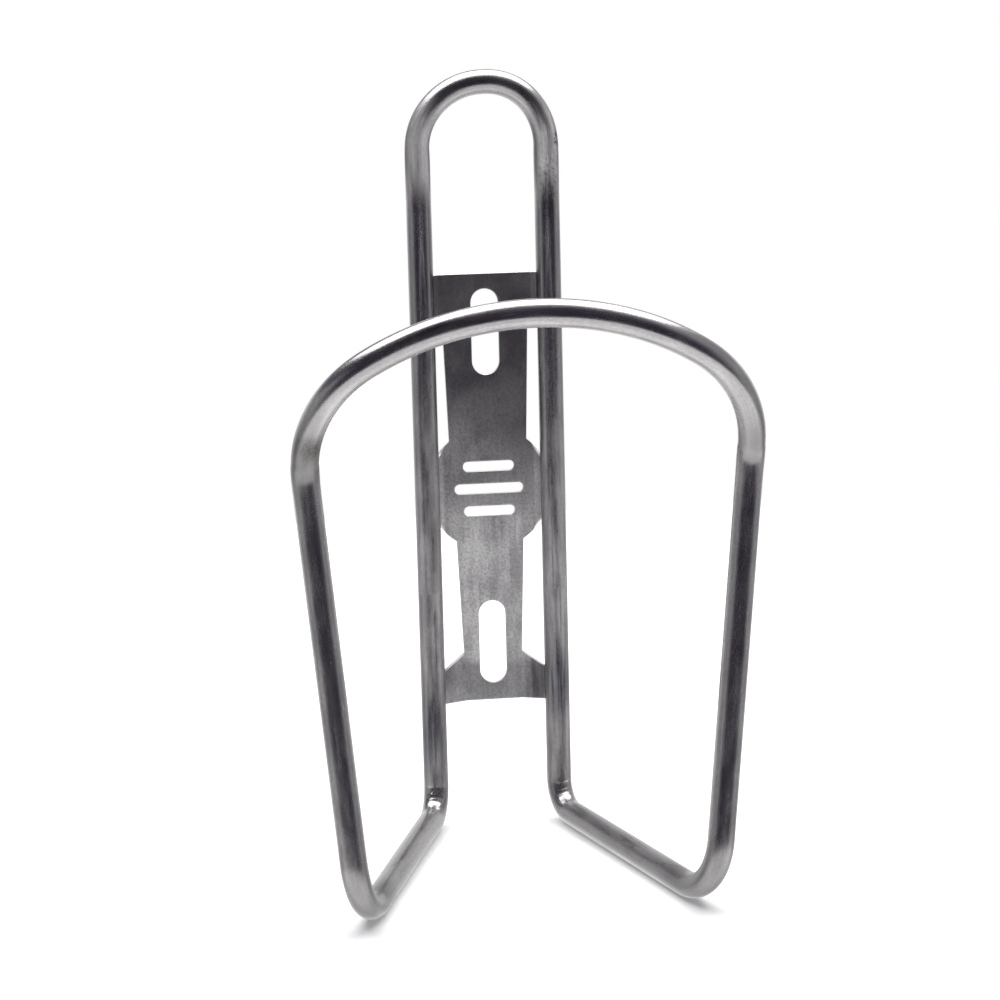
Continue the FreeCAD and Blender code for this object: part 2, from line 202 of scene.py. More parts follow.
def gaps_along(axis):
    """The distance from each point to the next."""
    return np.linalg.norm(np.diff(axis, axis=0), axis=1)


def smoothed(values, reach, gaps):
    """A moving average over a distance, for values at uneven gaps."""
    place = np.concatenate([[0.0], np.cumsum(gaps)])
    out = np.empty_like(values)
    share = np.gradient(place)
    for i, here in enumerate(place):
        near = np.exp(-((place - here) / reach) ** 2) * share
        out[i] = (near * values).sum() / near.sum()
    return out


# ---------------------------------------------------------------- tube courses

class Course:
    """A tube's axis: runs and arcs, sampled with their direction and bend."""

    def __init__(self):
        self.points, self.curls, self.bends = [], [], []

    def add(self, point, curl, bend):
        if self.points and (point - self.points[-1]).length < SAME_POINT:
            return
        self.points.append(point)
        self.curls.append(curl)
        self.bends.append(bend)

    def run(self, start, stop, step):
        """A straight length."""
        count = max(2, round((stop - start).length / step))
        for i in range(count + 1):
            self.add(start.lerp(stop, i / count), None, 0.0)

    def arc(self, centre, start, stop, step):
        """A circular bend, turned the short way from start to stop."""
        a, b = start - centre, stop - centre
        angle = a.angle(b)
        axis = a.cross(b).normalized()
        radius = a.length
        count = max(4, round(radius * angle / step))
        for i in range(count + 1):
            turn = Matrix.Rotation(angle * i / count, 3, axis)
            spoke = turn @ a
            self.add(centre + spoke, -spoke.normalized(), 1.0 / radius)

    def axis(self):
        return np.array([tuple(p) for p in self.points])

    def length(self):
        return sum((b - a).length for a, b in zip(self.points, self.points[1:]))


def rounded(course, corners, radii):
    """Straight runs through the corners, each inner corner rounded by its bend."""
    start = corners[0]
    for before, corner, after, radius in zip(corners, corners[1:], corners[2:], radii):
        back = (before - corner).normalized()
        ahead = (after - corner).normalized()
        turn = math.pi - back.angle(ahead)
        reach = radius * math.tan(turn / 2)
        centre = corner + (back + ahead).normalized() * (radius / math.cos(turn / 2))
        first, last = corner + back * reach, corner + ahead * reach
        course.run(start, first, RUN_STEP)
        course.arc(centre, first, last, BEND_STEP)
        start = last
    if (corners[-1] - start).length > SAME_POINT:
        course.run(start, corners[-1], RUN_STEP)


def hoop_course():
    """The front hoop from the right seam to the left one."""
    seam = Vector((RAIL_X, RAIL_Y, SEAM_Z - SEAM_GAP / 2))
    heel = Vector((RAIL_X, RAIL_Y, LEG_Z))
    base = Vector((0, SHOULDER.y, SHOULDER.z))
    rise = (APEX - base).normalized()
    upright = (SHOULDER - FOOT).normalized()
    lead = SHOULDER_BEND_RADIUS * math.tan(upright.angle(rise) / 2)
    right = Course()
    rounded(right, [seam, heel, FOOT, SHOULDER, SHOULDER + rise * lead],
            [REAR_BEND_RADIUS, FOOT_BEND_RADIUS, SHOULDER_BEND_RADIUS])
    height = (APEX - base).length - lead
    inset = SHOULDER.x - ARCH_SIDE_RADIUS
    wide = (inset ** 2 + height ** 2 - ARCH_SIDE_RADIUS ** 2) \
        / (2 * (height - ARCH_SIDE_RADIUS))
    side_centre = base + rise * lead + Vector((inset, 0, 0))
    front_centre = APEX - rise * wide
    join = math.atan2(wide - height, inset)
    side = Vector((1, 0, 0))
    first = side_centre + side * ARCH_SIDE_RADIUS
    meet = side_centre + (side * math.cos(join) + rise * math.sin(join)) * ARCH_SIDE_RADIUS
    right.arc(side_centre, first, meet, ARCH_SIDE_STEP)
    right.arc(front_centre, meet, APEX, ARCH_FRONT_STEP)
    flip = Vector((-1, 1, 1))
    whole = Course()
    whole.points, whole.curls, whole.bends = right.points[:], right.curls[:], right.bends[:]
    for point, curl, bend in reversed(list(zip(right.points, right.curls, right.bends))):
        whole.add(point * flip, curl * flip if curl else None, bend)

    # A bend eases in and out: the shoulders' arcs are softened into their runs.
    axis = whole.axis()
    gaps = gaps_along(axis)
    eased = np.stack([smoothed(axis[:, k], SHOULDER_EASE, gaps) for k in range(3)], 1)
    share = np.where(axis[:, 1] < FRONT_LIMIT_Y, band(2.0, 10.0, 24.0, 34.0, axis[:, 2]), 0.0)
    whole.points = [point.lerp(Vector(soft), part)
                    for point, soft, part in zip(whole.points, eased, share)]
    return whole


def hairpin_course():
    """The rear hairpin from the right seam over the top to the left seam."""
    foot = SEAM_Z + SEAM_GAP / 2
    centre = Vector((0, RAIL_Y, HAIRPIN_Z))
    right, top, left = [Vector((x, RAIL_Y, HAIRPIN_Z + rise))
                        for x, rise in ((RAIL_X, 0), (0, RAIL_X), (-RAIL_X, 0))]
    course = Course()
    course.run(Vector((RAIL_X, RAIL_Y, foot)), right, RUN_STEP)
    course.arc(centre, right, top, BEND_STEP)
    course.arc(centre, top, left, BEND_STEP)
    course.run(left, Vector((-RAIL_X, RAIL_Y, foot)), RUN_STEP)

    # The real bend is not quite round: it bulges at the upper right, and is flatter at
    # the upper left.
    for point in course.points:
        spoke = point - centre
        if spoke.z > 0:
            turn = math.atan2(spoke.z, spoke.x)
            most = UNEVEN_RIGHT if turn < math.pi / 2 else UNEVEN_LEFT
            uneven = math.sin(2 * turn) * most
            point += spoke.normalized() * uneven * math.sin(turn)
    return course


def tube_mesh(name, course, finish, wrinkle):
    """
    The tube's wall round the course: outside, bore and both end rings. A bend is pressed
    slightly oval, and the inside of a tight bend gets fine compression wrinkles. finish
    gives each point's matte film with painted light, and its painted shade, both from 0 to 1.
    """
    axis = course.axis()
    gaps = gaps_along(axis)
    place = np.concatenate([[0.0], np.cumsum(gaps)])
    tangent = np.gradient(axis, place, axis=0)
    tangent /= np.linalg.norm(tangent, axis=1)[:, None]
    bend = smoothed(np.array(course.bends), BEND_EASE, gaps)
    curl = np.array([tuple(c) if c else (0, 0, 0) for c in course.curls], float)
    curl = np.stack([smoothed(curl[:, k], CURL_EASE, gaps) for k in range(3)], 1)
    size = np.linalg.norm(curl, axis=1)[:, None]
    bent = size > 1e-3
    curl = np.divide(curl, size, out=np.zeros_like(curl), where=bent)

    # A frame carried along the axis without twist.
    side = np.empty_like(axis)
    side[0] = np.cross(tangent[0], (0, 1, 0))
    side[0] /= np.linalg.norm(side[0])
    for i in range(1, len(axis)):
        carried = side[i - 1] - tangent[i] * side[i - 1].dot(tangent[i])
        side[i] = carried / np.linalg.norm(carried)
    other = np.cross(tangent, side)

    around = TUBE_AROUND
    angle = np.linspace(0, 2 * math.pi, around, endpoint=False)
    spoke = side[:, None] * np.cos(angle)[None, :, None] \
        + other[:, None] * np.sin(angle)[None, :, None]
    inward = np.einsum("ijk,ik->ij", spoke, curl)
    squeeze = OVAL_PRESS * np.clip(bend * OVAL_FULL_RADIUS, 0, 1)[:, None]
    flat = 1.0 - squeeze * inward ** 2 + OVAL_BULGE * squeeze * (1 - inward ** 2) * bent
    ripple = wrinkle(axis)[:, None] * np.clip(inward, 0, 1) ** 2
    wave = np.sin(place[:, None] * 2 * math.pi / WRINKLE_PITCH
                  + WRINKLE_SKEW * np.sin(3 * angle)[None])
    reach = TUBE_RADIUS * flat + WRINKLE_DEPTH * ripple * wave
    outer = axis[:, None] + spoke * reach[..., None]
    inner = axis[:, None] + spoke * (BORE_RADIUS * flat)[..., None]
    outer = np.clip(outer, [c / MM for c in cad_low], [c / MM for c in cad_high])

    rings = len(axis)
    points = np.concatenate([outer.reshape(-1, 3), inner.reshape(-1, 3)])
    faces = []
    shift = rings * around
    for i in range(rings - 1):
        for j in range(around):
            k = (j + 1) % around
            a, b = i * around + j, i * around + k
            faces.append((a, b, b + around, a + around))
            faces.append((shift + a + around, shift + b + around, shift + b, shift + a))
    last = (rings - 1) * around
    for j in range(around):
        k = (j + 1) % around
        faces.append((j, shift + j, shift + k, k))
        faces.append((last + k, shift + last + k, shift + last + j, last + j))
    unrolled = np.stack([
        np.broadcast_to(np.cos(angle) * TUBE_RADIUS, (rings, around)),
        np.broadcast_to(np.sin(angle) * TUBE_RADIUS, (rings, around)),
        np.broadcast_to(place[:, None], (rings, around)),
    ], 2).reshape(-1, 3)
    film, tarnish = [np.broadcast_to(part, (rings, around)).ravel()
                     for part in finish(axis, spoke)]
    return new_piece(name, points, faces, {
        "course": np.concatenate([unrolled, unrolled]),
        "film": np.concatenate([film, film]),
        "tarnish": np.concatenate([tarnish, tarnish]),
    })


def rail_flanks(spoke):
    """Painted shade on the rails' flanks, which face the cage's two sides."""
    return 0.42 * smoothstep(0.60, 0.95, np.abs(spoke[..., 0]))


def hairpin_finish(axis, spoke):
    """
    Painted light on the front of the bend's sides, and painted shade on their edges, on the
    bend's crown and on the rails' flanks, with a matte film on the welded rails. It gives the
    film with its painted light, and the painted shade.
    """
    height = axis[:, 2][:, None]
    front = np.clip(-spoke[..., 1], 0, 1)
    sides = band(56.5, 67.0, 71.0, 80.0, height)
    # Painted light: the front of the bend's sides is made paler.
    rubbed = sides * smoothstep(0.12, 0.60, front)
    rails = 0.88 * (1 - smoothstep(-20.0, 43.0, height))
    # Painted shade on the edges of the bend's sides.
    edges = 0.75 * sides * (1 - smoothstep(0.45, 0.85, front))
    # Painted shade all round the bend's crown.
    crown = 0.22 * smoothstep(70.0, 80.0, height)
    flanks = rail_flanks(spoke) * (1 - smoothstep(50.0, 62.0, height))
    return (np.maximum(1.8 * rubbed, rails + 0.04),
            np.maximum.reduce([edges, crown * np.ones_like(edges), flanks]))


def hoop_finish(axis, spoke):
    """
    Matte rails, painted light and painted shade at the shoulders, and painted shade on the
    legs and feet. It gives the film with its painted light, and the painted shade.
    """
    across, depth, height = [axis[:, k][:, None] for k in range(3)]
    on_right = across > 0
    on_rail = depth > RAIL_LIMIT_Y
    on_leg = (height < LEG_LIMIT_Z) & (depth < LEG_START_Y)
    in_front = depth < FRONT_LIMIT_Y

    rail = 0.88 * on_rail * smoothstep(-66.0, -56.0, height)
    rail *= 1 - np.where(on_right, 0.20, 0.55) * band(-58.0, -50.0, -44.0, -34.0, height)
    # Painted light low on the shoulders.
    shoulder = in_front * band(5.0, 14.0, 15.0, 24.0, height)
    film = np.maximum.reduce([rail, 0.30 * shoulder, np.where(on_leg, 0.25, 0.06)])

    # Painted shade a little above the shoulders' bends, set a little higher on the right.
    lift = np.where(on_right, 1.5, 0.0)
    dark = in_front * band(13.0 + lift, 16.5 + lift, 20.0, 29.0, height)
    # Painted shade at the feet, near the floor.
    foot = 0.50 * in_front * (1 - smoothstep(-62.0, -50.0, height))
    # Painted shade on the legs, darker on the right leg.
    leg = np.where(on_leg, np.where(on_right, 0.32, 0.22), 0.0)
    tarnish = np.maximum.reduce([np.where(on_right, 0.50, 0.62) * dark, foot, leg])

    gaps = gaps_along(axis)
    film, tarnish = [smoothed(part[:, 0], FINISH_EASE, gaps)[:, None]
                     for part in (film, tarnish)]
    # Painted shade on the rails' flanks.
    flanks = rail_flanks(spoke) * (on_rail * smoothstep(-66.0, -58.0, height))
    return film, np.maximum(tarnish, flanks)


def no_wrinkle(axis):
    return np.zeros(len(axis))


def rear_bend_wrinkle(axis):
    """The rear bends are the tightest: their inside shows wrinkles near the rail end."""
    centre_z, reach = LEG_Z + 4.6, 2.2
    near = np.exp(-((axis[:, 2] - centre_z) / reach) ** 2)
    return np.where(axis[:, 1] > REAR_BEND_LIMIT_Y, near, 0.0)


rear_course = hairpin_course()
hairpin = tube_mesh("hairpin_tube_finish", rear_course, hairpin_finish, no_wrinkle)
hoop = tube_mesh("hoop_tube_finish", hoop_course(), hoop_finish, rear_bend_wrinkle)


# ------------------------------------------------------------------------ plate

def on_disc(x):
    """The height of the disc's edge at x."""
    return math.sqrt(DISC_RADIUS ** 2 - x ** 2)


def disc_arc(start, stop):
    """Points on the disc's edge between two angles, both ends included."""
    count = max(4, round(abs(stop - start) * DISC_RADIUS / DISC_STEP))
    return [(DISC_RADIUS * math.cos(start + (stop - start) * i / count),
             DISC_RADIUS * math.sin(start + (stop - start) * i / count))
            for i in range(count + 1)]


def straight(a, b):
    """Points from a to b, without b."""
    count = max(1, round(math.dist(a, b) / EDGE_STEP))
    return [(a[0] + (b[0] - a[0]) * i / count, a[1] + (b[1] - a[1]) * i / count)
            for i in range(count)]


def plate_outline():
    """The plate's edge seen from the front, counter-clockwise in x and z."""
    tab_tip = TAB_BEND_X + TAB_FLANGE * math.cos(TAB_ANGLE)
    wing_tip = WING_BEND_X + WING_FLANGE * math.cos(WING_ANGLE)
    slope = TAB_SLOPE / (TRIM_X - STRIP_TOP_HALF)
    fall = WING_SLOPE / (TRIM_X - STRIP_LOW_HALF)
    tip = min(tab_tip, DISC_RADIUS)
    edge = [
        (0.0, PLATE_BOTTOM), (wing_tip, PLATE_BOTTOM),
        (wing_tip, WING_ROOT_Z - fall * (wing_tip - STRIP_LOW_HALF)),
        (STRIP_LOW_HALF, WING_ROOT_Z), (WAIST_HALF, -on_disc(WAIST_HALF)),
    ]
    right = []
    for a, b in zip(edge, edge[1:]):
        right += straight(a, b)
    low = math.atan2(-on_disc(tip), tip)
    right += disc_arc(math.atan2(-on_disc(WAIST_HALF), WAIST_HALF), low)
    right += straight((tip, -on_disc(tip)), (tip, on_disc(tip)))[1:]
    right += disc_arc(-low, math.atan2(on_disc(STRIP_DISC_HALF), STRIP_DISC_HALF))[:-1]
    upper = [
        (STRIP_DISC_HALF, on_disc(STRIP_DISC_HALF)), (STRIP_TOP_HALF, TAB_ROOT_Z),
        (tab_tip, TAB_ROOT_Z + slope * (tab_tip - STRIP_TOP_HALF)),
        (tab_tip, PLATE_TOP), (0.0, PLATE_TOP),
    ]
    for a, b in zip(upper, upper[1:]):
        right += straight(a, b)
    right.append((0.0, PLATE_TOP))
    left = [(-x, z) for x, z in reversed(right[1:-1])]
    return right + left


def slot_outline(centre_z, length, width, upright):
    """A round-ended slot's edge, clockwise, so that the sheet is on its left."""
    radius, reach = width / 2, (length - width) / 2
    turns = [math.pi * i / SLOT_STEPS for i in range(SLOT_STEPS + 1)]
    half = [(radius * math.cos(turn), reach + radius * math.sin(turn)) for turn in turns]
    loop = half + [(-u, -v) for u, v in half]
    if not upright:
        loop = [(v, -u) for u, v in loop]
    return [(u, v + centre_z) for u, v in reversed(loop)]


def inset(loop, distance):
    """The loop moved into the sheet, which lies on its left."""
    moved = []
    for before, here, after in zip(loop[-1:] + loop[:-1], loop, loop[1:] + loop[:1]):
        a = Vector(here) - Vector(before)
        b = Vector(after) - Vector(here)
        a.normalize()
        b.normalize()
        normal = Vector((-a.y - b.y, a.x + b.x))
        normal /= max(normal.length_squared / 2, 0.3)
        moved.append((here[0] + normal.x * distance, here[1] + normal.y * distance))
    return moved


def sheet_place(x, depth, z):
    """
    Where a point of the flat sheet ends up when the sheet is bent. depth runs from the
    rear face to the front face.
    """
    if z < WING_ROOT_Z:
        bend_x, angle = WING_BEND_X, WING_ANGLE
    else:
        bend_x, angle = TAB_BEND_X, TAB_ANGLE
    reach = PLATE_BEND_RADIUS * math.tan(angle / 2)
    across, sign = abs(x), math.copysign(1, x)
    start = bend_x - reach
    if across <= start:
        turn, rear_x, rear_y = 0.0, across, 0.0
    elif across < bend_x + reach * math.cos(angle):
        turn = math.asin(min(1.0, (across - start) / PLATE_BEND_RADIUS))
        turn = min(turn, angle)
        rear_x = start + PLATE_BEND_RADIUS * math.sin(turn)
        rear_y = -PLATE_BEND_RADIUS * (1 - math.cos(turn))
    else:
        turn, rear_x = angle, across
        rear_y = -(across - bend_x) * math.tan(angle)
    return (sign * (rear_x - depth * math.sin(turn)), rear_y - depth * math.cos(turn), z)


def plate_mesh():
    """A pressed sheet with slightly broken edges, cut flat and then bent."""
    loops = [plate_outline()]
    loops += [slot_outline(sign * BOLT_Z, BOLT_SLOT_LENGTH, BOLT_SLOT_WIDTH, True)
              for sign in (1, -1)]
    loops += [slot_outline(step * VENT_PITCH, length, VENT_WIDTH, False)
              for step, length in ((-1, VENT_SHORT), (0, VENT_LONG), (1, VENT_SHORT))]
    rows = [(EDGE_BREAK + EDGE_LAND, 0.0)]
    rows += [(EDGE_BREAK * (1 - math.sin(a)), EDGE_BREAK * (1 - math.cos(a)))
             for a in map(math.radians, EDGE_ANGLES)]
    rows += [(inside, GAUGE - depth) for inside, depth in reversed(rows)]
    bm = bmesh.new()
    rim = bm.verts.layers.float.new("rim")
    face_loops = {0: [], len(rows) - 1: []}
    for loop in loops:
        rings = []
        for index, (inside, depth) in enumerate(rows):
            ring = []
            for x, z in inset(loop, inside):
                vert = bm.verts.new((x, depth, z))
                on_face = index in face_loops or inside > EDGE_BREAK * 0.9
                vert[rim] = 0.0 if on_face else 1.0
                ring.append(vert)
            rings.append(ring)
        for low, high in zip(rings, rings[1:]):
            for i in range(len(loop)):
                k = (i + 1) % len(loop)
                bm.faces.new((low[i], low[k], high[k], high[i]))
        for index in face_loops:
            face_loops[index].append(rings[index])
    for index, rings in face_loops.items():
        edges = [bm.edges.get((ring[i], ring[(i + 1) % len(ring)])) or
                 bm.edges.new((ring[i], ring[(i + 1) % len(ring)]))
                 for ring in rings for i in range(len(ring))]
        bmesh.ops.triangle_fill(bm, use_beauty=True, use_dissolve=False, edges=edges)
    cuts = []
    for bend_x, angle in ((TAB_BEND_X, TAB_ANGLE), (WING_BEND_X, WING_ANGLE)):
        reach = PLATE_BEND_RADIUS * math.tan(angle / 2)
        start = bend_x - reach
        cuts += [start + PLATE_BEND_RADIUS * math.sin(angle * i / PLATE_BEND_STEPS)
                 for i in range(PLATE_BEND_STEPS + 1)]
    planes = [((x, 0, 0), (1, 0, 0)) for x in cuts + [-x for x in cuts]]
    planes.append(((0, 0, WING_ROOT_Z), (0, 0, 1)))
    for point, normal in planes:
        bmesh.ops.bisect_plane(bm, geom=bm.verts[:] + bm.edges[:] + bm.faces[:], dist=1e-5,
                               plane_co=point, plane_no=normal)
    for vert in bm.verts:
        vert.co = Vector(sheet_place(*vert.co)) * MM
    bmesh.ops.recalc_face_normals(bm, faces=bm.faces[:])
    if bm.calc_volume(signed=True) < 0:
        bmesh.ops.reverse_faces(bm, faces=bm.faces[:])
    mesh = bpy.data.meshes.new("plate_finish")
    bm.to_mesh(mesh)
    bm.free()
    mesh.polygons.foreach_set("use_smooth", [True] * len(mesh.polygons))
    return in_scene("plate_finish", mesh)


plate = plate_mesh()


# ------------------------------------------------------------------------ welds

def seam_mesh(side, sign, rear_length):
    """
    The seam's dressed weld: a ring with a low crown, sanded flush with the tube. Its draw
    marks carry on from the rear tube, which starts at the right seam.
    """
    around, rows = TUBE_AROUND, SEAM_ROWS
    angle = np.linspace(0, 2 * math.pi, around, endpoint=False)
    profile = []
    for i in range(rows):
        u = 2 * i / (rows - 1) - 1
        profile.append((TUBE_RADIUS + SEAM_CROWN * (1 - u * u), u * SEAM_GAP / 2))
    profile += [(BORE_RADIUS, SEAM_GAP / 2), (BORE_RADIUS, -SEAM_GAP / 2)]
    points, course = [], []
    for radius, height in profile:
        below = SEAM_GAP / 2 - height
        along = -below if sign > 0 else rear_length + below
        for a in angle:
            r = radius
            if radius > TUBE_RADIUS:
                r += SEAM_RIPPLE * math.sin(9 * a + 1.3 * math.sin(3 * a))
            points.append((sign * RAIL_X + r * math.cos(a), RAIL_Y + r * math.sin(a),
                           SEAM_Z + height))
            course.append((-sign * TUBE_RADIUS * math.cos(a),
                           -TUBE_RADIUS * math.sin(a), along))
    faces = [(i * around + j, i * around + (j + 1) % around,
              (i + 1) % len(profile) * around + (j + 1) % around,
              (i + 1) % len(profile) * around + j)
             for i in range(len(profile)) for j in range(around)]
    spoke = np.tile(np.stack([np.cos(angle), np.sin(angle)], 1), (len(profile), 1))
    # The seam's flanks get painted shade, as the rails do.
    return new_piece(f"seam_weld_finish_{side}", points, faces, {
        "course": course, "film": np.full(len(points), 0.90), "tarnish": rail_flanks(spoke)})


def bead_mesh(name, centre, low, high):
    """A rippled bead along a groove, with rounded ends that close in a point."""
    around = BEAD_AROUND
    rows = max(12, round((high - low) / BEAD_STEP))
    points = [(*centre, low)]
    for i in range(1, rows):
        z = low + (high - low) * i / rows
        end = min(z - low, high - z) / BEAD_RADIUS
        swell = math.sqrt(max(0.0, 1 - (1 - min(1.0, end)) ** 2))
        for j in range(around):
            a = 2 * math.pi * j / around
            phase = (z - low) / BEAD_RIPPLE + 0.28 * math.cos(a - 0.9)
            crest = abs(math.sin(math.pi * phase)) ** 0.6
            r = BEAD_RADIUS * swell * (0.86 + 0.13 * crest)
            points.append((centre[0] + r * math.cos(a), centre[1] + r * math.sin(a), z))
    points.append((*centre, high))
    top = len(points) - 1
    faces = []
    for j in range(around):
        k = (j + 1) % around
        faces += [(0, 1 + k, 1 + j), (top - around + j, top - around + k, top)]
        for i in range(rows - 2):
            below = 1 + i * around
            above = below + around
            faces.append((below + j, below + k, above + k, above + j))
    return new_piece(name, points, faces)


def flange_tip(bend_x, flange, angle):
    """The rear corner of a bent flange's end, in x and y."""
    return bend_x + flange * math.cos(angle), -flange * math.sin(angle)


def make_welds():
    """Every weld's mesh, with the CAD node that it replaces."""
    tab_tip = flange_tip(TAB_BEND_X, TAB_FLANGE, TAB_ANGLE)
    wing_tip = flange_tip(WING_BEND_X, WING_FLANGE, WING_ANGLE)
    beads = (
        ("top_tab_weld", tab_tip, TAB_ROOT_Z + TAB_SLOPE, PLATE_TOP - WELD_MARGIN),
        ("disc_weld", tab_tip, -DISC_WELD_HALF, DISC_WELD_HALF),
        ("wing_weld", wing_tip, PLATE_BOTTOM + WELD_MARGIN, WING_ROOT_Z - WING_SLOPE),
    )
    made = []
    for side, sign in (("right", 1), ("left", -1)):
        made.append((seam_mesh(side, sign, rear_course.length()), f"seam_weld_{side}"))
        for word, (tip_x, tip_y), low, high in beads:
            bead = bead_mesh(f"{word}_bead_{side}", (sign * tip_x, tip_y), low, high)
            made.append((bead, f"{word}_{side}"))
    return made


welds = make_welds()


# ------------------------------------------------------------------- materials

class Nodes:
    """Adds nodes to one emptied tree with little text."""

    def __init__(self, tree):
        self.tree = tree
        self.tree.nodes.clear()

    def node(self, kind, **settings):
        made = self.tree.nodes.new(kind)
        for key, value in settings.items():
            setattr(made, key, value)
        return made

    def link(self, out, into):
        self.tree.links.new(out, into)

    def feed(self, socket, value):
        """Links a socket to another one, or gives it a constant."""
        if isinstance(value, bpy.types.NodeSocket):
            self.link(value, socket)
        else:
            socket.default_value = value

    def named(self, node, **inputs):
        """Feeds a node's inputs by name, with _ for each space."""
        for key, value in inputs.items():
            self.feed(node.inputs[key.replace("_", " ")], value)

    def attribute(self, name, output):
        return self.node("ShaderNodeAttribute", attribute_name=name).outputs[output]

    def scaled(self, vector, scale):
        made = self.node("ShaderNodeVectorMath", operation="MULTIPLY")
        self.feed(made.inputs[0], vector)
        made.inputs[1].default_value = scale
        return made.outputs[0]

    def noise(self, vector, scale, detail, rough):
        made = self.node("ShaderNodeTexNoise")
        self.named(made, Vector=vector, Scale=scale, Detail=detail, Roughness=rough)
        return made.outputs["Fac"]

    def ramp(self, value, low, high, start=0.0, stop=1.0):
        """start at low and stop at high, with a soft change between."""
        made = self.node("ShaderNodeMapRange", interpolation_type="SMOOTHSTEP")
        self.named(made, Value=value, From_Min=low, From_Max=high, To_Min=start, To_Max=stop)
        return made.outputs["Result"]

    def math(self, kind, a, b=0.0, clamp=False):
        made = self.node("ShaderNodeMath", operation=kind, use_clamp=clamp)
        self.feed(made.inputs[0], a)
        self.feed(made.inputs[1], b)
        return made.outputs[0]

    def times(self, *factors, clamp=False):
        """The product, clamped at its last step if asked."""
        product = factors[0]
        for index, factor in enumerate(factors[1:], 2):
            product = self.math("MULTIPLY", product, factor,
                                clamp=clamp and index == len(factors))
        return product

    def mix(self, factor, a, b):
        """Colour a where factor is 0, and colour b where it is 1."""
        made = self.node("ShaderNodeMix", data_type="RGBA")
        self.feed(made.inputs[0], factor)
        for index, colour in ((6, a), (7, b)):
            is_socket = isinstance(colour, bpy.types.NodeSocket)
            self.feed(made.inputs[index], colour if is_socket else (*colour, 1.0))
        return made.outputs[2]

    def bump(self, height, distance, strength, under=None):
        made = self.node("ShaderNodeBump")
        self.named(made, Strength=strength, Distance=distance, Height=height)
        if under:
            self.feed(made.inputs["Normal"], under)
        return made.outputs["Normal"]

    def place(self):
        """The point's place in the CAD frame, in metres."""
        return self.node("ShaderNodeTexCoord").outputs["Object"]

    def near(self, centre, reach):
        """1 at centre and 0 from reach on, both in millimetres."""
        made = self.node("ShaderNodeVectorMath", operation="DISTANCE")
        self.feed(made.inputs[0], self.place())
        made.inputs[1].default_value = [c * MM for c in centre]
        return self.ramp(made.outputs["Value"], 0.0, reach * MM, 1.0, 0.0)


class Maker(Nodes):
    """One material's nodes, which end in a Principled shader."""

    def __init__(self, name):
        self.material = bpy.data.materials.new(name)
        self.material.use_nodes = True
        super().__init__(self.material.node_tree)
        self.shader = self.node("ShaderNodeBsdfPrincipled")
        output = self.node("ShaderNodeOutputMaterial")
        self.link(self.shader.outputs["BSDF"], output.inputs["Surface"])

    def finish(self, **inputs):
        self.named(self.shader, **inputs)
        return self.material


# Marks on the metal, and one place of painted shade on the disc, each with its centre and
# its reach in millimetres.
RAIL_HEAT_RIGHT = ((13.8, -5.6, -39.0), 10.5)
RAIL_HEAT_LEFT = ((-13.5, -5.6, -50.0), 13.0)
TOP_NICK = ((15.2, -4.0, 70.2), 3.0)
TOP_PITS = ((14.8, -4.8, 63.0), 7.0)
SHOULDER_SMUDGE = ((-38.1, -71.2, 21.2), 4.2)
DISC_CENTRE = ((0.0, 0.0, 1.0), 13.0)
DISC_CLOUD = ((5.0, -1.0, 11.0), 8.0)
WING_STAIN_RIGHT = ((11.5, -3.0, -40.0), 9.0)
WING_STAIN_LEFT = ((-11.8, -3.0, -38.5), 4.5)

# Tones. Each pair is a metal's darker and lighter patches.
TUBE_METAL = (0.42, 0.405, 0.415), (0.52, 0.51, 0.505)
SHEET_METAL = (0.31, 0.30, 0.315), (0.40, 0.39, 0.395)
BEAD_METAL = (0.50, 0.47, 0.42), (0.56, 0.54, 0.52)
TURNED_METAL = (0.42, 0.42, 0.42), (0.52, 0.51, 0.50)
PAPER = (0.90, 0.90, 0.90), (0.92, 0.92, 0.92)
TUBE_FILM = (0.64, 0.635, 0.63)
SHEET_FILM = (0.77, 0.765, 0.755)
CUT_EDGE = (0.66, 0.65, 0.64)
DRAW_LINE = (0.24, 0.23, 0.24)
GRAIN_LINE = (0.22, 0.21, 0.22)
TARNISH = (0.085, 0.082, 0.085)
RAIL_HEAT = (0.10, 0.10, 0.135)
WING_STAIN = (0.11, 0.105, 0.125)
NICK = (0.03, 0.03, 0.03)
SMUDGE = (0.06, 0.058, 0.045)
TUBE_SPECK = (0.16, 0.155, 0.16)
SHEET_SPECK = (0.20, 0.195, 0.20)
ROOM_SHADE = (0.95, 0.80, 1.15)
WHITE = (1, 1, 1, 1)


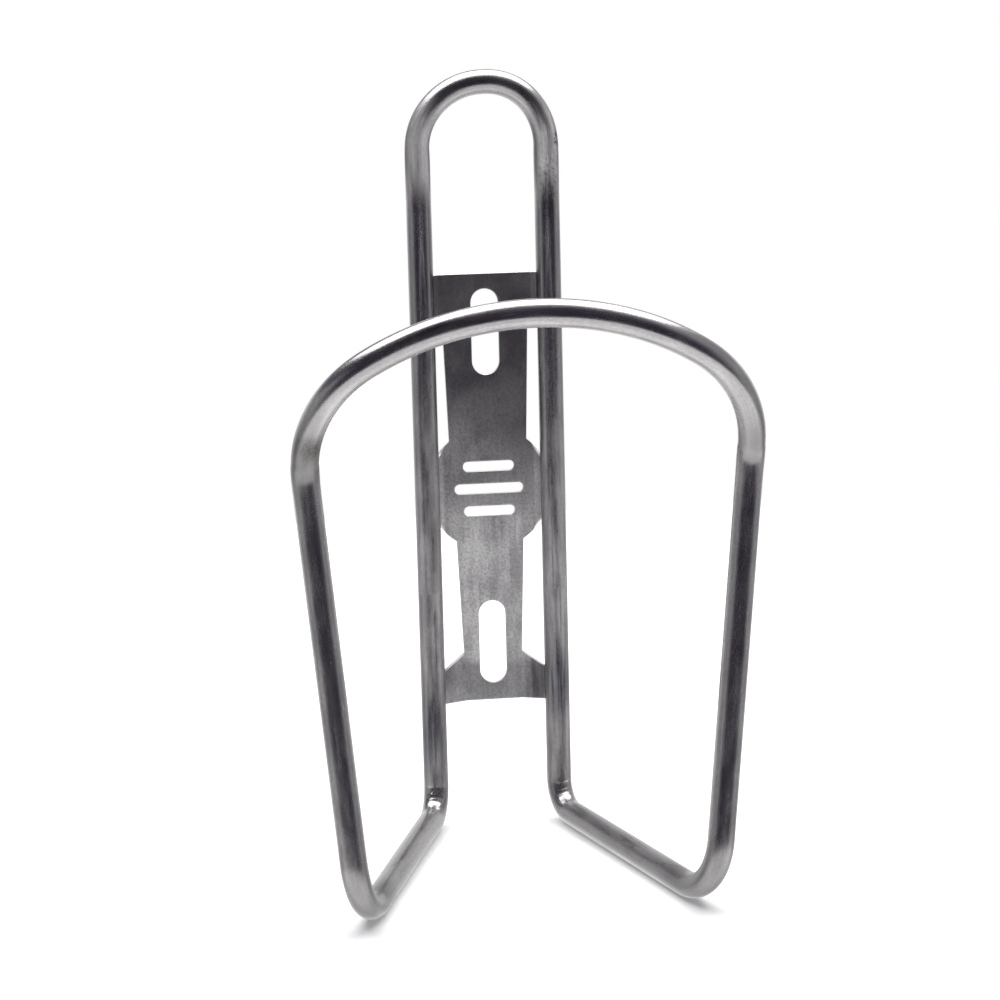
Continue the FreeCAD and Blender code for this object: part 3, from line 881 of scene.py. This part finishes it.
def tube_material():
    """
    Drawn and pickled titanium: lengthwise draw lines, soft blotches, a matte film with
    painted light, painted shade, and a few marks. The noise runs along the unrolled tube, in
    millimetres.
    """
    m = Maker("drawn_titanium")
    course = m.attribute("course", "Vector")
    tarnish = m.attribute("tarnish", "Fac")
    lines = m.noise(m.scaled(course, (5.0, 5.0, 0.07)), 1.0, 4.0, 0.6)
    streaks = m.noise(m.scaled(course, (1.1, 1.1, 0.05)), 1.0, 4.0, 0.65)
    fine = m.noise(m.scaled(course, (16.0, 16.0, 0.35)), 1.0, 2.0, 0.5)
    blotch = m.noise(m.scaled(course, (0.45, 0.45, 0.11)), 1.0, 4.0, 0.6)
    speck = m.noise(m.scaled(course, (2.6, 2.6, 1.3)), 1.0, 3.0, 0.65)
    grain = m.noise(course, 6.0, 3.0, 0.6)

    film = m.times(m.attribute("film", "Fac"), m.ramp(blotch, 0.35, 0.65, 0.70, 1.08),
                   m.ramp(streaks, 0.36, 0.58, 0.50, 1.12))
    heat = m.math("MAXIMUM", m.times(m.near(*RAIL_HEAT_RIGHT), 0.75),
                  m.times(m.near(*RAIL_HEAT_LEFT), 0.55))
    heat = m.times(heat, m.ramp(streaks, 0.36, 0.60, 1.15, 0.55), clamp=True)
    nick = m.times(m.near(*TOP_NICK), m.ramp(speck, 0.44, 0.54, 1.0, 0.35))
    pits = m.times(m.near(*TOP_PITS), m.ramp(speck, 0.34, 0.46, 0.7, 0.0))
    smudge = m.times(m.near(*SHOULDER_SMUDGE), m.ramp(speck, 0.36, 0.60, 1.0, 0.65))

    tone = m.mix(m.ramp(blotch, 0.35, 0.68), *TUBE_METAL)
    tone = m.mix(m.ramp(lines, 0.3, 0.5, 0.30, 0.0), tone, DRAW_LINE)
    # The film's paler tone: a matte film on the rails, and painted light on the bend's front
    # and the shoulders.
    tone = m.mix(m.times(film, 0.55, clamp=True), tone, TUBE_FILM)
    # Painted shade darkens the tube's base colour.
    tone = m.mix(tarnish, tone, TARNISH)
    tone = m.mix(heat, tone, RAIL_HEAT)
    tone = m.mix(m.math("MAXIMUM", m.ramp(nick, 0.15, 0.5), pits), tone, NICK)
    tone = m.mix(smudge, tone, SMUDGE)
    tone = m.mix(m.ramp(speck, 0.34, 0.62, 0.18, 0.0), tone, TUBE_SPECK)

    rough = m.math("ADD", m.ramp(blotch, 0.3, 0.7, 0.16, 0.24),
                   m.ramp(lines, 0.3, 0.7, 0.05, 0.0))
    rough = m.math("ADD", rough, m.times(film, 0.22))
    rough = m.math("ADD", rough, m.times(tarnish, 0.15))
    normal = m.bump(lines, 0.00002, 0.2)
    normal = m.bump(fine, 0.000010, 0.5, normal)
    normal = m.bump(grain, 0.000006, 0.5, normal)
    return m.finish(Base_Color=tone, Roughness=rough, Normal=normal,
                    Metallic=m.math("SUBTRACT", 1.0, m.times(film, 0.5), clamp=True))


def plate_material():
    """
    Rolled titanium sheet: upright grain, a matte film whose pale tone is painted reflection:
    it thins toward the top, on the wings, at the disc's centre and on the right. Bright cut
    edges, and heat stains by the lower welds.
    """
    m = Maker("rolled_titanium_sheet")
    where = m.place()
    split = m.node("ShaderNodeSeparateXYZ")
    m.feed(split.inputs[0], where)
    across, height = split.outputs["X"], split.outputs["Z"]
    grain = m.noise(m.scaled(where, (5200.0, 5200.0, 160.0)), 1.0, 4.0, 0.6)
    streak = m.noise(m.scaled(where, (700.0, 700.0, 45.0)), 1.0, 4.0, 0.65)
    speck = m.noise(where, 1900.0, 4.0, 0.7)
    blotch = m.noise(where, 120.0, 4.0, 0.6)

    stain = m.math("MAXIMUM",
                   m.times(m.near(*WING_STAIN_RIGHT), m.ramp(streak, 0.38, 0.56, 1.15, 0.50)),
                   m.times(m.near(*WING_STAIN_LEFT), 0.5))
    cloud = m.times(m.near(*DISC_CLOUD), m.ramp(blotch, 0.35, 0.6, 0.5, 0.9))
    # Painted reflection: the film's paler tone grows from the top down to the disc's lower
    # edge, drops on the wings, and is less at the disc's centre and on the right.
    film = m.times(m.ramp(height, 0.028, -0.014, 0.0, 0.98),
                   m.ramp(height, -0.0345, -0.0375, 1.0, 0.55),
                   m.ramp(blotch, 0.32, 0.68, 0.78, 1.12),
                   m.ramp(streak, 0.35, 0.62, 0.80, 1.05),
                   m.ramp(across, 0.003, 0.010, 1.0, 0.80),
                   m.ramp(m.near(*DISC_CENTRE), 0.0, 0.8, 1.0, 0.68),
                   m.ramp(cloud, 0.0, 1.0, 1.0, 0.45),
                   m.ramp(stain, 0.0, 1.0, 1.0, 0.25))

    tone = m.mix(m.ramp(blotch, 0.35, 0.65), *SHEET_METAL)
    tone = m.mix(m.ramp(grain, 0.3, 0.48, 0.4, 0.0), tone, GRAIN_LINE)
    tone = m.mix(film, tone, SHEET_FILM)
    tone = m.mix(m.ramp(speck, 0.33, 0.62, 0.45, 0.0), tone, SHEET_SPECK)
    tone = m.mix(m.times(stain, 0.75, clamp=True), tone, WING_STAIN)
    tone = m.mix(m.attribute("rim", "Fac"), tone, CUT_EDGE)

    rough = m.math("ADD", m.ramp(blotch, 0.3, 0.7, 0.30, 0.40),
                   m.ramp(speck, 0.3, 0.7, 0.0, 0.08))
    normal = m.bump(grain, 0.00002, 0.5)
    normal = m.bump(speck, 0.00001, 0.5, normal)
    return m.finish(Base_Color=tone, Roughness=rough, Normal=normal,
                    Metallic=m.math("SUBTRACT", 1.0, film, clamp=True))


def weld_material():
    """A straw-tinted weld bead."""
    m = Maker("titanium_weld_bead")
    mottle = m.noise(m.place(), 900.0, 4.0, 0.6)
    return m.finish(Base_Color=m.mix(m.ramp(mottle, 0.35, 0.65), *BEAD_METAL),
                    Roughness=m.ramp(mottle, 0.3, 0.7, 0.18, 0.32),
                    Normal=m.bump(mottle, 0.00003, 0.5), Metallic=1.0)


def sleeve_material():
    """Titanium turned on a lathe, with marks round its axis."""
    m = Maker("turned_titanium")
    turning = m.noise(m.scaled(m.place(), (60.0, 60.0, 6000.0)), 1.0, 3.0, 0.5)
    return m.finish(Base_Color=m.mix(m.ramp(turning, 0.3, 0.7), *TURNED_METAL),
                    Roughness=m.ramp(turning, 0.3, 0.7, 0.25, 0.36),
                    Normal=m.bump(turning, 0.00002, 0.5), Metallic=1.0)


def dress(piece, material):
    piece.data.materials.clear()
    piece.data.materials.append(material)


def redress(node, material):
    """A better material for a CAD node that stays."""
    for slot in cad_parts[node].material_slots:
        slot.material = material


tube_look, plate_look = tube_material(), plate_material()
weld_look, sleeve_look = weld_material(), sleeve_material()
dress(hairpin, tube_look)
dress(hoop, tube_look)
dress(plate, plate_look)
for side in ("left", "right"):
    redress(f"seam_sleeve_{side}", sleeve_look)
for weld, node in welds:
    dress(weld, tube_look if node.startswith("seam") else weld_look)

for piece, node, slot in [(hairpin, "rear_hairpin_tube", "tube"),
                          (hoop, "front_hoop_tube", "tube"),
                          (plate, "back_plate", "plate")] \
        + [(weld, node, "weld") for weld, node in welds]:
    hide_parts(node)
    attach(piece, "root")


# ------------------------------------------------------------- floor and light

FLOOR_X = (-420, 420)
FLOOR_Y = (-400, 330)
FLOOR_COLUMNS, FLOOR_ROWS = 28, 26
FLOOR_GAP = 0.02


def floor_material():
    """White paper that gives a little light of its own, so that it reads as clean white."""
    m = Maker("white_paper")
    fibre = m.noise(m.place(), 900.0, 3.0, 0.6)
    return m.finish(Base_Color=m.mix(m.ramp(fibre, 0.3, 0.7), *PAPER), Roughness=0.9,
                    Specular_IOR_Level=0.0, Emission_Color=WHITE, Emission_Strength=0.18)


def make_floor():
    """
    A plain pale sheet that the cage stands on. The metal mirrors the room's own lower
    half in its place, so that the room alone sets the light and dark bands.
    """
    level = cad_low.z / MM - FLOOR_GAP
    points = [(x, y, level) for y in np.linspace(*FLOOR_Y, FLOOR_ROWS + 1)
              for x in np.linspace(*FLOOR_X, FLOOR_COLUMNS + 1)]
    width = FLOOR_COLUMNS + 1
    corners = [j * width + i for j in range(FLOOR_ROWS) for i in range(FLOOR_COLUMNS)]
    faces = [(k, k + 1, k + width + 1, k + width) for k in corners]
    floor = new_piece("floor", points, faces)
    dress(floor, floor_material())
    floor.visible_glossy = False


make_floor()

def make_room():
    """
    The room, which only the metal sees: dark in front of the cage up to a steep height,
    pale sides with a dim corner high on the left, white behind and below. The camera sees
    plain white instead.
    """
    world = bpy.data.worlds.new("studio")
    bpy.context.scene.world = world
    world.use_nodes = True
    m = Nodes(world.node_tree)
    split = m.node("ShaderNodeSeparateXYZ")
    m.feed(split.inputs[0], m.node("ShaderNodeTexCoord").outputs["Generated"])
    across, depth, height = split.outputs

    sides = m.ramp(depth, -0.75, -0.15, 0.05, 0.42)
    corner = m.times(m.ramp(across, -0.12, -0.42, 0.0, 0.75), m.ramp(height, 0.18, 0.34))
    sides = m.times(sides, m.math("SUBTRACT", 1.0, corner))
    back = m.times(m.ramp(depth, 0.35, 0.95, 0.0, 0.75),
                   m.ramp(height, 0.10, 0.45, 1.0, 0.15))
    table = m.times(m.ramp(height, -0.55, -0.38, 1.15, 0.0),
                    m.ramp(depth, -0.1, 0.5, 1.0, 0.35))
    level = m.math("ADD", m.math("ADD", sides, back), table)

    lit = m.node("ShaderNodeBackground")
    m.named(lit, Strength=level, Color=m.mix(m.ramp(level, 0.05, 0.4), ROOM_SHADE, WHITE[:3]))
    seen = m.node("ShaderNodeBackground")
    m.named(seen, Strength=1.0, Color=WHITE)
    choose = m.node("ShaderNodeMixShader")
    m.feed(choose.inputs[0], m.node("ShaderNodeLightPath").outputs["Is Camera Ray"])
    m.feed(choose.inputs[1], lit.outputs[0])
    m.feed(choose.inputs[2], seen.outputs[0])
    m.feed(m.node("ShaderNodeOutputWorld").inputs["Surface"], choose.outputs[0])


make_room()


def softbox(name, centre, aim, width, depth, power):
    """A soft rectangular light that faces a point."""
    light = bpy.data.lights.new(name, "AREA")
    light.shape = "RECTANGLE"
    light.size, light.size_y = width * MM, depth * MM
    light.energy = power
    lamp = in_scene(name, light)
    lamp.location = Vector(centre) * MM
    away = Vector(centre) - Vector(aim)
    lamp.rotation_euler = away.to_track_quat("Z", "Y").to_euler()


softbox("overhead", centre=(0, 90, 560), aim=(0, 40, 0), width=1100, depth=620, power=8.5)


# ---------------------------------------------------------------------- camera

CAMERA_AZIMUTH = math.radians(6.68)
CAMERA_ELEVATION = math.radians(10.65)
CAMERA_ROLL = math.radians(-1.437)
CAMERA_DISTANCE = 469.4
CAMERA_LENS = 89.16
SENSOR_WIDTH = 36.0
AIM_SHIFT = Vector((-1.8, 6.8, -3.3))


def make_camera():
    """A long lens, a little to the left of the cage and a little above it."""
    aim = (cad_low + cad_high) / 2 + AIM_SHIFT * MM
    ahead = Vector((math.sin(CAMERA_AZIMUTH) * math.cos(CAMERA_ELEVATION),
                    math.cos(CAMERA_AZIMUTH) * math.cos(CAMERA_ELEVATION),
                    -math.sin(CAMERA_ELEVATION)))
    right = Vector((math.cos(CAMERA_AZIMUTH), -math.sin(CAMERA_AZIMUTH), 0))
    up = right.cross(ahead)
    level_right = right * math.cos(CAMERA_ROLL) + up * math.sin(CAMERA_ROLL)
    level_up = up * math.cos(CAMERA_ROLL) - right * math.sin(CAMERA_ROLL)
    data = bpy.data.cameras.new("camera")
    data.sensor_width = SENSOR_WIDTH
    data.lens = CAMERA_LENS
    camera = in_scene("camera", data)
    turn = Matrix((level_right, level_up, -ahead)).transposed().to_4x4()
    camera.matrix_world = Matrix.Translation(aim - ahead * CAMERA_DISTANCE * MM) @ turn
    bpy.context.scene.camera = camera


make_camera()
bpy.context.scene.view_settings.view_transform = "Standard"
